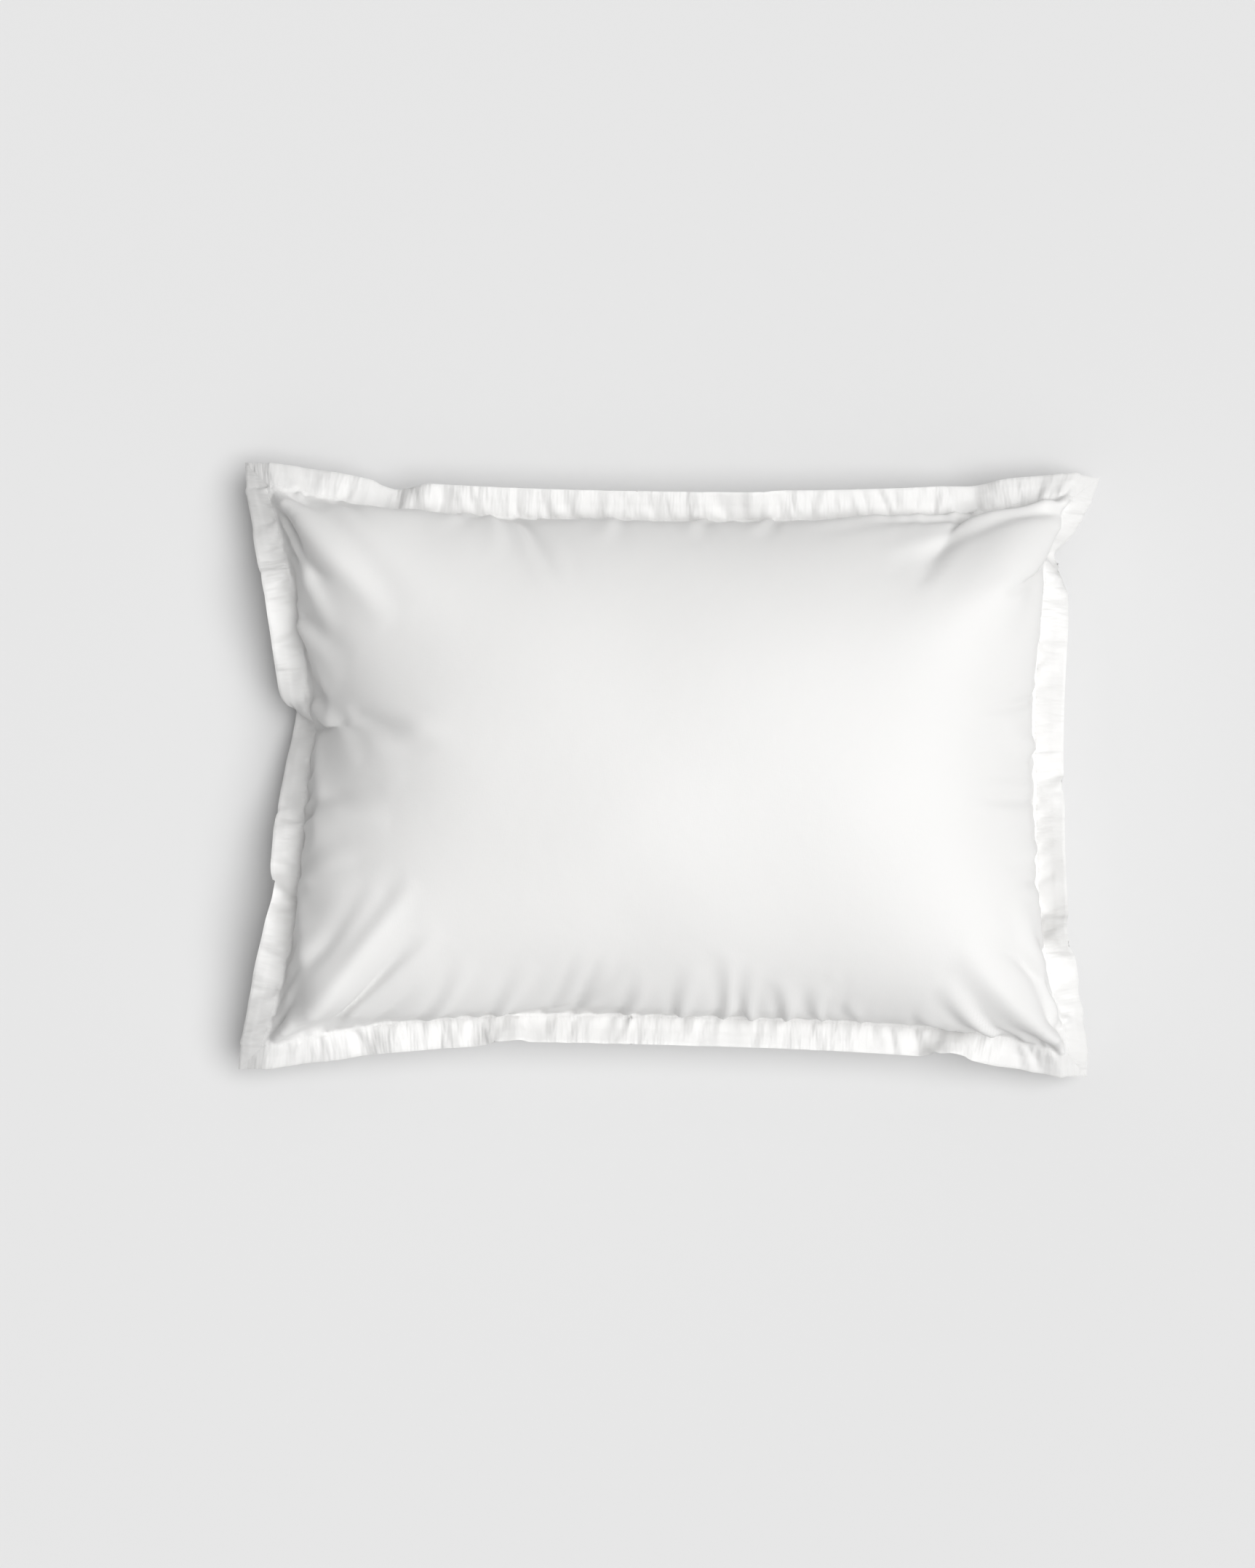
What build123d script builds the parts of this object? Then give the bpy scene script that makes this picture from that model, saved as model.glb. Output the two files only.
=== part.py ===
"""Oxford bed pillow: a flanged sateen case with an envelope back, over a three-chamber insert.

Millimetres. +X runs along the long side, +Y along the short side, +Z up.
The origin is the middle of the flat patch that the pillow rests on.
Cloth and thread are thicker here than the real ones, so that each is a sound solid.
"""

import os
from math import cos, radians, sin, sqrt

from build123d import *

# Case, as it stands when it is filled. The sides draw in to a waist between the corners.
SEAM_CORNER = (338.0, 236.0)
SEAM_WAIST = (306.0, 206.0)
FLANGE_AT_CORNER = 20.0
FLANGE_AT_WAIST = 23.0
SEAM_HEIGHT = 56.0
TOP_RISE = 110.0
CROWN_CORNER = (70.0, 42.0)
CROWN_WAIST = (96.0, 54.0)
BASE_CORNER = (248.0, 170.0)
BASE_WAIST = (286.0, 182.0)

# Cloth
CLOTH = 1.2
CLOTH_GAP = 0.4
FLANGE_GAP = 0.8

# Envelope opening in the back: the main panel laps over the underlap panel.
HEM_X = -150.0
UNDERLAP_END_X = -30.0
HEM_WIDTH = 20.0
PANEL_CLEARANCE = 0.5

# Thread
THREAD = 0.8
THREAD_GROOVE = 1.0
TOPSTITCH_FROM_SEAM = 1.5
EDGE_SEAM_FROM_RIM = 3.0
BAR_TACK_LENGTH = 10.0
BAR_TACK_WIDTH = 2.4
BAR_TACK_FROM_SEAM = 6.0

# Insert, measured inward from the case's stitched seam
PIPING_RADIUS = 1.6
PIPING_INSET = 5.3
PIPING_CORNER_RADIUS = 2.0
TICKING = 1.0
TICKING_INSET = 7.8
TICKING_DROP = 3.6
INSERT_STITCH_INSET = 9.4
DIVIDER = 1.0
DIVIDER_RIM_INSET = 10.0
DIVIDER_INSET = 14.0
DIVIDER_RISE = 50.0
DIVIDER_FALL = 16.0
FILL_GAP = 0.4

# Labels
LABEL_CLOTH = 0.6
CARE_LABEL_Y = 62.0
CARE_LABEL_SIZE = (34.0, 18.0)
INSERT_LABEL_X = 268.0
INSERT_LABEL_Y = -70.0
INSERT_LABEL_SIZE = (34.0, 40.0)

LEVEL_ANGLES = (0.0, 22.5, 45.0, 67.5, 90.0)
UP, DOWN = 1, -1
FAR = 400.0

HALF_GAP = FLANGE_GAP / 2
UNDERLAP_DEPTH = CLOTH + CLOTH_GAP


def inset_by(point, distance):
    """A corner or waist pair moved inward by the same distance along both axes."""
    return (point[0] - distance, point[1] - distance)


def between(start, end, share):
    return tuple(a + (b - a) * share for a, b in zip(start, end))


def four_arcs(corner, waist, mode=Mode.ADD):
    """A four-sided face whose sides are arcs from corner to corner through the waists."""
    (cx, cy), (wx, wy) = corner, waist
    with BuildLine() as sides:
        ThreePointArc((cx, -cy), (wx, 0), (cx, cy))
        ThreePointArc((cx, cy), (0, wy), (-cx, cy))
        ThreePointArc((-cx, cy), (-wx, 0), (-cx, -cy))
        ThreePointArc((-cx, -cy), (0, -wy), (cx, -cy))
    make_face(sides.edges(), mode=mode)


def seam_outline(inset, mode=Mode.ADD):
    four_arcs(inset_by(SEAM_CORNER, inset), inset_by(SEAM_WAIST, inset), mode)


def half_dome(side, inset, rise, start=0.0, mode=Mode.ADD):
    """A crowned half from the seam plane to a flat crown, up or down, added to the open part.

    The waists follow a quarter ellipse and the corners a lower curve, as a filled case does.
    """
    crown = (CROWN_CORNER, CROWN_WAIST) if side == UP else (BASE_CORNER, BASE_WAIST)
    levels = []
    for angle in LEVEL_ANGLES:
        turn = radians(angle)
        corner = between(inset_by(SEAM_CORNER, inset), crown[0], sin(turn) ** 2)
        waist = between(inset_by(SEAM_WAIST, inset), crown[1], 1 - cos(turn))
        height = start + (rise - start) * sin(turn)
        with BuildSketch(Plane.XY.offset(SEAM_HEIGHT + side * height)) as level:
            four_arcs(corner, waist)
        levels.append(level.sketch)
    loft(levels, mode=mode)


def flange_plate(side, start, thickness, rim_inset=None):
    """A flat plate over the whole outline: out to the flange's rim, or to an inset outline."""
    with BuildSketch(Plane.XY.offset(SEAM_HEIGHT + side * start)) as plate:
        if rim_inset is None:
            four_arcs(
                tuple(c + FLANGE_AT_CORNER for c in SEAM_CORNER),
                tuple(w + FLANGE_AT_WAIST for w in SEAM_WAIST),
            )
        else:
            seam_outline(rim_inset)
    extrude(plate.sketch, amount=side * thickness)


def keep_between(low_x, high_x, low_y=-FAR, high_y=FAR):
    """Trim the open part to a range of X and Y."""
    with Locations(((low_x + high_x) / 2, (low_y + high_y) / 2, SEAM_HEIGHT)):
        Box(high_x - low_x, high_y - low_y, 4 * TOP_RISE, mode=Mode.INTERSECT)


def thread_ring(corner, waist, start, side=UP):
    """Thread laid along an outline on the open part, square in section."""
    half = THREAD / 2
    with BuildSketch(Plane.XY.offset(SEAM_HEIGHT + side * start)) as ring:
        four_arcs(inset_by(corner, -half), inset_by(waist, -half))
        four_arcs(inset_by(corner, half), inset_by(waist, half), Mode.SUBTRACT)
    extrude(ring.sketch, amount=side * THREAD)


def back_skin(depth, thickness):
    """A skin of the case's lower half, its outer surface at depth."""
    inner = depth + thickness
    half_dome(DOWN, depth, SEAM_HEIGHT - depth, HALF_GAP)
    half_dome(DOWN, inner, SEAM_HEIGHT - inner, HALF_GAP, Mode.SUBTRACT)


def stitch_line(x, depth, width):
    """A line of hem stitching across the back, or its groove, set flush into the cloth."""
    with BuildPart() as line:
        back_skin(depth, THREAD)
        keep_between(x - width / 2, x + width / 2)
    return line.part


def seam_y(x):
    """Where the long side's stitched seam lies at x."""
    sagitta = SEAM_CORNER[1] - SEAM_WAIST[1]
    radius = (SEAM_CORNER[0] ** 2 + sagitta**2) / (2 * sagitta)
    return SEAM_WAIST[1] + radius - sqrt(radius**2 - x**2)


def shell(side, inset, rise, thickness):
    """A domed layer of the insert, one thickness of cloth."""
    half_dome(side, inset, rise)
    half_dome(side, inset + thickness, rise - thickness, mode=Mode.SUBTRACT)


def divider(side, rise):
    """A chamber wall with a flat rim that is caught in the ticking's seam."""
    flange_plate(side, 0, DIVIDER, DIVIDER_RIM_INSET)
    half_dome(side, DIVIDER_INSET, rise)
    half_dome(side, DIVIDER_INSET + DIVIDER, rise - DIVIDER, mode=Mode.SUBTRACT)


def down_layer(side, ticking_rise, divider_rise):
    """The down between the ticking and a divider, clear of the divider's rim."""
    room = TICKING + FILL_GAP
    half_dome(side, TICKING_INSET + room, ticking_rise - room)
    half_dome(side, DIVIDER_INSET - FILL_GAP, divider_rise + FILL_GAP, mode=Mode.SUBTRACT)
    with Locations((0, 0, SEAM_HEIGHT)):
        Box(2 * FAR, 2 * FAR, 2 * (DIVIDER + FILL_GAP), mode=Mode.SUBTRACT)


def write(part, name):
    part.label = name
    export_step(part, f"parts/{name}.step")


os.makedirs("parts", exist_ok=True)

# --- The case -------------------------------------------------------------------------------

with BuildPart() as case_front_panel:
    flange_plate(UP, HALF_GAP, CLOTH)
    half_dome(UP, 0, TOP_RISE, HALF_GAP)
    half_dome(UP, CLOTH, TOP_RISE - CLOTH, HALF_GAP, Mode.SUBTRACT)
write(case_front_panel.part, "case_front_panel")

back_stitch_x = HEM_X + HEM_WIDTH
with BuildPart() as case_back_panel:
    flange_plate(DOWN, HALF_GAP, CLOTH)
    back_skin(0, CLOTH)
    keep_between(HEM_X, FAR)
    add(stitch_line(back_stitch_x, 0, THREAD_GROOVE), mode=Mode.SUBTRACT)
write(case_back_panel.part, "case_back_panel")
write(stitch_line(back_stitch_x, 0, THREAD), "back_hem_stitch")

underlap_stitch_x = UNDERLAP_END_X - HEM_WIDTH
with BuildPart() as case_underlap_panel:
    flange_plate(DOWN, HALF_GAP, CLOTH)
    keep_between(-FAR, HEM_X - PANEL_CLEARANCE)
    back_skin(UNDERLAP_DEPTH, CLOTH)
    keep_between(-FAR, UNDERLAP_END_X)
    add(stitch_line(underlap_stitch_x, UNDERLAP_DEPTH, THREAD_GROOVE), mode=Mode.SUBTRACT)
write(case_underlap_panel.part, "case_underlap_panel")
write(stitch_line(underlap_stitch_x, UNDERLAP_DEPTH, THREAD), "underlap_hem_stitch")

# Needle thread above the flange and bobbin thread below it, locked through every layer.
with BuildPart() as flange_topstitch:
    for face_side in (UP, DOWN):
        thread_ring(
            inset_by(SEAM_CORNER, -TOPSTITCH_FROM_SEAM),
            inset_by(SEAM_WAIST, -TOPSTITCH_FROM_SEAM),
            HALF_GAP + CLOTH,
            face_side,
        )
write(flange_topstitch.part, "flange_topstitch")

# The seam that joins front to back, turned inside the flange.
with BuildPart() as edge_seam_thread:
    thread_ring(
        inset_by(SEAM_CORNER, EDGE_SEAM_FROM_RIM - FLANGE_AT_CORNER),
        inset_by(SEAM_WAIST, EDGE_SEAM_FROM_RIM - FLANGE_AT_WAIST),
        -HALF_GAP,
    )
write(edge_seam_thread.part, "edge_seam_thread")

tack_y = seam_y(HEM_X) + BAR_TACK_FROM_SEAM
tack_z = SEAM_HEIGHT - HALF_GAP - CLOTH - THREAD / 2
with BuildPart() as opening_bar_tacks:
    with Locations((HEM_X, tack_y, tack_z), (HEM_X, -tack_y, tack_z)):
        Box(BAR_TACK_LENGTH, BAR_TACK_WIDTH, THREAD)
write(opening_bar_tacks.part, "opening_bar_tacks")

label_end_x = HEM_X - PANEL_CLEARANCE
with BuildPart() as care_label:
    back_skin(UNDERLAP_DEPTH - LABEL_CLOTH, LABEL_CLOTH)
    keep_between(
        label_end_x - CARE_LABEL_SIZE[0],
        label_end_x,
        CARE_LABEL_Y - CARE_LABEL_SIZE[1] / 2,
        CARE_LABEL_Y + CARE_LABEL_SIZE[1] / 2,
    )
write(care_label.part, "care_label")

# --- The insert -----------------------------------------------------------------------------

ticking_rise = {UP: TOP_RISE - TICKING_DROP, DOWN: SEAM_HEIGHT - TICKING_DROP}

with BuildPart() as ticking_top_panel:
    shell(UP, TICKING_INSET, ticking_rise[UP], TICKING)
write(ticking_top_panel.part, "ticking_top_panel")

with BuildPart() as ticking_bottom_panel:
    shell(DOWN, TICKING_INSET, ticking_rise[DOWN], TICKING)
write(ticking_bottom_panel.part, "ticking_bottom_panel")

with BuildSketch(Plane.XY.offset(SEAM_HEIGHT)) as piping_outline:
    seam_outline(PIPING_INSET)
    fillet(piping_outline.vertices(), PIPING_CORNER_RADIUS)
piping_path = piping_outline.sketch.face().outer_wire()
with BuildPart() as ticking_piping:
    with BuildSketch(Plane(piping_path @ 0, z_dir=piping_path % 0)) as piping_section:
        Circle(PIPING_RADIUS)
    sweep(piping_section.sketch, piping_path)
write(ticking_piping.part, "ticking_piping")

with BuildPart() as ticking_edge_stitch:
    thread_ring(
        inset_by(SEAM_CORNER, INSERT_STITCH_INSET),
        inset_by(SEAM_WAIST, INSERT_STITCH_INSET),
        -THREAD / 2,
    )
write(ticking_edge_stitch.part, "ticking_edge_stitch")

with BuildPart() as chamber_divider_upper:
    divider(UP, DIVIDER_RISE)
write(chamber_divider_upper.part, "chamber_divider_upper")

with BuildPart() as chamber_divider_lower:
    divider(DOWN, DIVIDER_FALL)
write(chamber_divider_lower.part, "chamber_divider_lower")

with BuildPart() as down_layer_upper:
    down_layer(UP, ticking_rise[UP], DIVIDER_RISE)
write(down_layer_upper.part, "down_layer_upper")

with BuildPart() as down_layer_lower:
    down_layer(DOWN, ticking_rise[DOWN], DIVIDER_FALL)
write(down_layer_lower.part, "down_layer_lower")

core_clearance = DIVIDER + FILL_GAP
with BuildPart() as feather_core:
    half_dome(UP, DIVIDER_INSET + core_clearance, DIVIDER_RISE - core_clearance)
    half_dome(DOWN, DIVIDER_INSET + core_clearance, DIVIDER_FALL - core_clearance)
write(feather_core.part, "feather_core")

with BuildPart() as insert_label:
    shell(UP, TICKING_INSET - LABEL_CLOTH, ticking_rise[UP] + LABEL_CLOTH, LABEL_CLOTH)
    keep_between(
        INSERT_LABEL_X - INSERT_LABEL_SIZE[0] / 2,
        INSERT_LABEL_X + INSERT_LABEL_SIZE[0] / 2,
        INSERT_LABEL_Y - INSERT_LABEL_SIZE[1] / 2,
        INSERT_LABEL_Y + INSERT_LABEL_SIZE[1] / 2,
    )
write(insert_label.part, "insert_label")
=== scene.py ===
"""An Oxford bed pillow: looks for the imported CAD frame. Metres, in the CAD's own axes."""

from functools import partial

import bpy
import numpy as np
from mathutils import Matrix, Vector
from mathutils.bvhtree import BVHTree


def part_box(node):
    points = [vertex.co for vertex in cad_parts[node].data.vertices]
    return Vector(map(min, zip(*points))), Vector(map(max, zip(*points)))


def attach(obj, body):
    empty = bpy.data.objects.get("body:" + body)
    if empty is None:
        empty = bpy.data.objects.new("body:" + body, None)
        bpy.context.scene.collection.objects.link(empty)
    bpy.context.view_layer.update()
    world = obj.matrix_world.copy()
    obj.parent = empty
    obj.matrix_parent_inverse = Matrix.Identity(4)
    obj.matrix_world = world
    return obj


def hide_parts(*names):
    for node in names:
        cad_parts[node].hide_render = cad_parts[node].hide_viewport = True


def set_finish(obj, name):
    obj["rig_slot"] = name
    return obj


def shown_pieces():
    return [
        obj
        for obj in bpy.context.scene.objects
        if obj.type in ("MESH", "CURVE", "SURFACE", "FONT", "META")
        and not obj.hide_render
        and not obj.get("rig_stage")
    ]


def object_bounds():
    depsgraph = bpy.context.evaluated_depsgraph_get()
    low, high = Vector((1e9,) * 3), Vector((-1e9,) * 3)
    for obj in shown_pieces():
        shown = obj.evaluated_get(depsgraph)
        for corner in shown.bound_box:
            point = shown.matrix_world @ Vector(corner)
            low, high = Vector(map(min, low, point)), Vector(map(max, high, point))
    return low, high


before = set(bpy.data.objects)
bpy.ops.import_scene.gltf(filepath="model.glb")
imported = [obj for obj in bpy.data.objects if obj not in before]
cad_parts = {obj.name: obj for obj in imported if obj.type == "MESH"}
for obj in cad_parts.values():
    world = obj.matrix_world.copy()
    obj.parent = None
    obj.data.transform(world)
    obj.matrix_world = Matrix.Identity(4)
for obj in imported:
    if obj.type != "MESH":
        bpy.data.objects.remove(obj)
cad_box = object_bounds()

# --- Camera ---------------------------------------------------------------------------------

CAMERA_XY = (-0.036, -0.013)
# How wide the view is, and at what height.
VIEW_WIDTH = 1.055
VIEW_HEIGHT = 0.074
LENS = 85.0
SENSOR = 36.0
NEAR_CLIP = 0.05


def new_object(name, data):
    """An object made of some data and linked into the scene."""
    made = bpy.data.objects.new(name, data)
    bpy.context.scene.collection.objects.link(made)
    return made


camera_data = bpy.data.cameras.new("camera")
camera_data.lens = LENS
camera_data.sensor_fit = "HORIZONTAL"
camera_data.sensor_width = SENSOR
camera_data.clip_start = NEAR_CLIP
camera = new_object("camera", camera_data)
camera.location = (*CAMERA_XY, VIEW_HEIGHT + VIEW_WIDTH * LENS / SENSOR)
bpy.context.scene.camera = camera
bpy.context.scene.view_settings.view_transform = "Standard"

# --- The case, settled as cloth -------------------------------------------------------------
# A case is cut flat: two sheets on one square grid, free of each other inside the pocket and
# one cloth outside it. Each step moves the points, then pulls every thread back to its length.

COARSE_CELL = 0.0125
CELLS = (60, 44)
FLANGE_CELLS = 2
LEVELS = 4
FRONT, BACK = 0, 1
STEPS = (700, 600, 700, 180)
STEP_TIMES = (0.0012, 0.0008, 0.0005, 0.0003)
START_HEIGHT = 0.074
START_GAP = 0.004
START_UNEVEN = (0.0008, 0.0002)
AREA_STEPS = 4
VOLUME_STEPS = 12
FILL_VOLUME = 0.0325
# The pressure is tuned once the pocket holds this share of its volume.
TUNED_FROM = 0.6
TUNING = 0.5
PRESSURES = (0.02, 1.0)
FILL_HEAD = 0.35
FILL_PUSH = 160.0
WEIGHT = 1.5
SHEAR_GRIP = 0.4
BEND_GRIPS = (0.002, 0.002, 0.002, 0.012)
FLANGE_BEND_GRIP = 0.25
FLANGE_RIPPLE_GRIP = 0.02
FLANGE_WEIGHT = 0.3
DAMPING = 0.985
SEAM_DRAW = (0.962, 0.950)
RIM_DRAW = (0.962, 0.944)
BAND_DRAW = (0.985, 0.972)
CORNER_SLACK = 0.13
CORNER_POWER = 1.5
LUMP = 0.4
LUMP_CELLS = (15, 11)
# Tucks pressed into the flange: which side, how far along it, and how much cloth each takes up.
TUCKS = (
    ("left", 0.053, 0.013),
    ("left", -0.045, 0.006),
    ("left", -0.105, 0.007),
    ("left", 0.175, 0.005),
    ("right", 0.180, 0.012),
    ("right", -0.014, 0.008),
    ("right", -0.155, 0.008),
    ("top", -0.225, 0.006),
    ("top", 0.080, 0.004),
    ("bottom", -0.150, 0.005),
    ("bottom", 0.230, 0.006),
)
TUCK_WIDTH = 0.005
# Hollows where the fill has shifted: place on the flat front, reach, and what push is left.
HOLLOWS = (
    (-0.290, 0.056, 0.036, 0.3),
    (-0.290, 0.140, 0.026, 0.6),
    (-0.285, -0.014, 0.034, 0.45),
    (-0.272, -0.095, 0.032, 0.45),
    (-0.215, 0.185, 0.030, 0.3),
    (0.225, 0.190, 0.040, 0.1),
    (-0.255, -0.190, 0.045, 0.1),
    (0.275, -0.170, 0.040, 0.2),
    (0.060, -0.205, 0.030, 0.4),
    (-0.080, -0.215, 0.030, 0.5),
    (0.300, -0.014, 0.022, 0.5),
)
# Small gathers in the flange's stitching: how far apart, how wide, and their share of its draw.
GATHER_SPACING = (0.016, 0.044)
GATHER_WIDTH = 0.004
GATHER_SIZES = (0.3, 1.0)
GATHER_DRAWS = 60
GATHER_SHARE = 0.7
END_FILL = -0.2
END_REACH = 0.09
FILL_LEAN = 0.3
LAYER_GAP = 0.0012
FLOOR_SLIP = 0.3
START_SEED, LUMP_SEED, GATHER_SEED, FOLD_SEED = 7, 3, 11, 23


def unit(vectors):
    """The same directions, each of length 1."""
    return vectors / np.linalg.norm(vectors, axis=-1, keepdims=True)


def spline_weight(t):
    """The cubic B-spline's weight at distance t."""
    t = np.abs(t)
    return np.where(t < 1, 2 / 3 - t**2 + t**3 / 2, np.clip(2 - t, 0, None) ** 3 / 6)


class Cloth:
    """Both sheets of the case at one grid spacing."""

    def __init__(self, level):
        self.cell = COARSE_CELL / 2**level
        self.rim = FLANGE_CELLS * 2**level
        self.nu, self.nv = (n * 2**level + 1 for n in CELLS)
        i, j = np.arange(self.nu), np.arange(self.nv)
        self.rim_u, self.rim_v = np.minimum(i, self.nu - 1 - i), np.minimum(j, self.nv - 1 - j)
        self.from_rim = np.minimum(self.rim_u[:, None], self.rim_v[None, :])
        self.tied = self.from_rim <= self.rim
        u = ((i - (self.nu - 1) / 2) * self.cell)[:, None]
        v = ((j - (self.nv - 1) / 2) * self.cell)[None, :]
        self.points = np.zeros((2, self.nu, self.nv, 3), np.float32)
        self.points[..., 0], self.points[..., 1] = u, v
        self.velocity = np.zeros_like(self.points)
        self.edges = self.edge_groups()
        self.filled = self.fill_shares(u, v)
        side, end = (self.rim_u <= self.rim)[:, None], (self.rim_v <= self.rim)[None, :]
        grip = BEND_GRIPS[level]
        grip_u = np.where(side, FLANGE_BEND_GRIP, np.where(end, FLANGE_RIPPLE_GRIP, grip))
        grip_v = np.where(end, FLANGE_BEND_GRIP, np.where(side, FLANGE_RIPPLE_GRIP, grip))
        self.grip_u, self.grip_v = grip_u.astype(np.float32), grip_v.astype(np.float32)
        self.weight = np.where(self.tied, FLANGE_WEIGHT, WEIGHT).astype(np.float32)

    def fill_shares(self, u, v):
        """How hard the fill pushes at each point of each sheet, as a share of its usual push."""
        in_u, in_v = (self.rim_u - self.rim)[:, None], (self.rim_v - self.rim)[None, :]
        # The insert's corners don't reach into the case's, and its fill is a little uneven.
        from_corner = np.hypot(np.maximum(in_u, 0), np.maximum(in_v, 0)) * self.cell
        filled = np.clip(from_corner / CORNER_SLACK, 0, 1) ** CORNER_POWER
        # It has also shifted towards the long sides, and from left to right.
        near_end = np.exp(-np.maximum(in_u, 0) * self.cell / END_REACH)
        near_side = np.exp(-np.maximum(in_v, 0) * self.cell / END_REACH)
        filled = filled * self.lumps() * (1 + END_FILL * (near_end - near_side))
        filled = filled * (1 + FILL_LEAN * u / u.max())
        for at_u, at_v, reach, left in HOLLOWS:
            near = np.exp(-(((u - at_u) ** 2 + (v - at_v) ** 2) / reach**2))
            filled[FRONT] *= 1 - (1 - left) * near
        filled[:, self.tied] = 0
        return filled.astype(np.float32)

    def lumps(self):
        """How uneven the fill's push is at each point of each sheet, in smooth patches."""
        rng = np.random.default_rng(LUMP_SEED)
        over_u, over_v = LUMP_CELLS
        coarse = rng.normal(size=(2, over_u + 3, over_v + 3))
        u = np.linspace(1, over_u + 1, self.nu)
        v = np.linspace(1, over_v + 1, self.nv)
        out = np.zeros((2, self.nu, self.nv))
        for a in range(-1, 3):
            for b in range(-1, 3):
                at_u = np.minimum(u.astype(int) + a, over_u + 2)
                at_v = np.minimum(v.astype(int) + b, over_v + 2)
                weight = spline_weight(u % 1 - a)[:, None] * spline_weight(v % 1 - b)[None, :]
                out += coarse[:, at_u][:, :, at_v] * weight
        return 1 + LUMP * out

    def edge_groups(self):
        """Threads along and across the grid, then its diagonals, no two in a group sharing a point."""
        every = slice(None)
        # The flange is drawn up by its seams, so it stays a band that is shorter than its cloth.
        along_u = np.full((self.nu - 1, self.nv), self.cell)
        along_v = np.full((self.nu, self.nv - 1), self.cell)
        steps_in = (0, self.rim / 2, self.rim, self.rim + 1)
        draw_u = np.interp(self.rim_v, steps_in, (RIM_DRAW[0], BAND_DRAW[0], SEAM_DRAW[0], 1))
        draw_v = np.interp(self.rim_u, steps_in, (RIM_DRAW[1], BAND_DRAW[1], SEAM_DRAW[1], 1))
        along_u[self.rim : -self.rim] *= draw_u[None, :]
        along_v[:, self.rim : -self.rim] *= draw_v[:, None]
        rng = np.random.default_rng(GATHER_SEED)
        for line in (self.rim, -1 - self.rim):
            self.gather(along_u[self.rim : -self.rim, line], SEAM_DRAW[0], rng)
            self.gather(along_v[line, self.rim : -self.rim], SEAM_DRAW[1], rng)
        width = max(TUCK_WIDTH, self.cell)
        for side, place, cloth in TUCKS:
            lengthwise = side in ("top", "bottom")
            count, across = (self.nu, self.nv) if lengthwise else (self.nv, self.nu)
            at = (np.arange(count - 1) - (count - 2) / 2) * self.cell
            share = np.exp(-(((at - place) / width) ** 2))
            share *= cloth / (share.sum() + 1e-9)
            depth = np.arange(across) if side in ("left", "bottom") else np.arange(across)[::-1]
            taper = np.clip(1 - depth / self.rim, 0, 1)
            if lengthwise:
                along_u += share[:, None] * taper[None, :]
            else:
                along_v += share[None, :] * taper[:, None]
        diagonal = self.cell * 2**0.5
        groups = []
        for odd in (0, 1):
            u0, u1 = slice(odd, self.nu - 1, 2), slice(odd + 1, self.nu, 2)
            v0, v1 = slice(odd, self.nv - 1, 2), slice(odd + 1, self.nv, 2)
            low_v, high_v = slice(0, self.nv - 1), slice(1, self.nv)
            lengths_u, lengths_v = along_u[u0].astype(np.float32), along_v[:, v0].astype(np.float32)
            groups.append(((every, u0), (every, u1), lengths_u, 1.0))
            groups.append(((every, every, v0), (every, every, v1), lengths_v, 1.0))
            groups.append(((every, u0, low_v), (every, u1, high_v), diagonal, SHEAR_GRIP))
            groups.append(((every, u0, high_v), (every, u1, low_v), diagonal, SHEAR_GRIP))
        return groups

    def gather(self, lengths, draw, rng):
        """Move a share of a seam's draw into small gathers along it."""
        total = len(lengths) * self.cell
        places = np.cumsum(rng.uniform(*GATHER_SPACING, GATHER_DRAWS))
        places = places[places < total]
        amounts = rng.uniform(*GATHER_SIZES, len(places))
        amounts *= (1 - draw) * GATHER_SHARE * total / amounts.sum()
        at = (np.arange(len(lengths)) + 0.5) * self.cell
        lengths += self.cell * (1 - draw) * GATHER_SHARE
        for place, amount in zip(places, amounts):
            share = np.exp(-(((at - place) / max(GATHER_WIDTH, self.cell)) ** 2))
            lengths -= share * amount / share.sum()

    def area_vectors(self):
        """Each point's share of the area round it, as a vector out of the upper side."""
        p = self.points
        a, b = p[:, 1:, 1:] - p[:, :-1, :-1], p[:, :-1, 1:] - p[:, 1:, :-1]
        quads = np.empty_like(a)
        for axis in (0, 1, 2):
            after, last = (axis + 1) % 3, (axis + 2) % 3
            quads[..., axis] = (a[..., after] * b[..., last] - a[..., last] * b[..., after]) / 8
        out = np.zeros_like(p)
        for u in (slice(0, -1), slice(1, None)):
            for v in (slice(0, -1), slice(1, None)):
                out[:, u, v] += quads
        return out

    def bend(self):
        """Pull each point towards the middle of its neighbours, more strongly across the flange."""
        for axis, grip in ((1, self.grip_u), (2, self.grip_v)):
            p = np.moveaxis(self.points, axis, 1)
            g = np.moveaxis(np.broadcast_to(grip[None, :, :, None], self.points.shape), axis, 1)
            pull = ((p[:, :-2] + p[:, 2:]) / 2 - p[:, 1:-1]) * g[:, 1:-1]
            p[:, 1:-1] += pull
            p[:, :-2] -= pull / 2
            p[:, 2:] -= pull / 2

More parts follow.
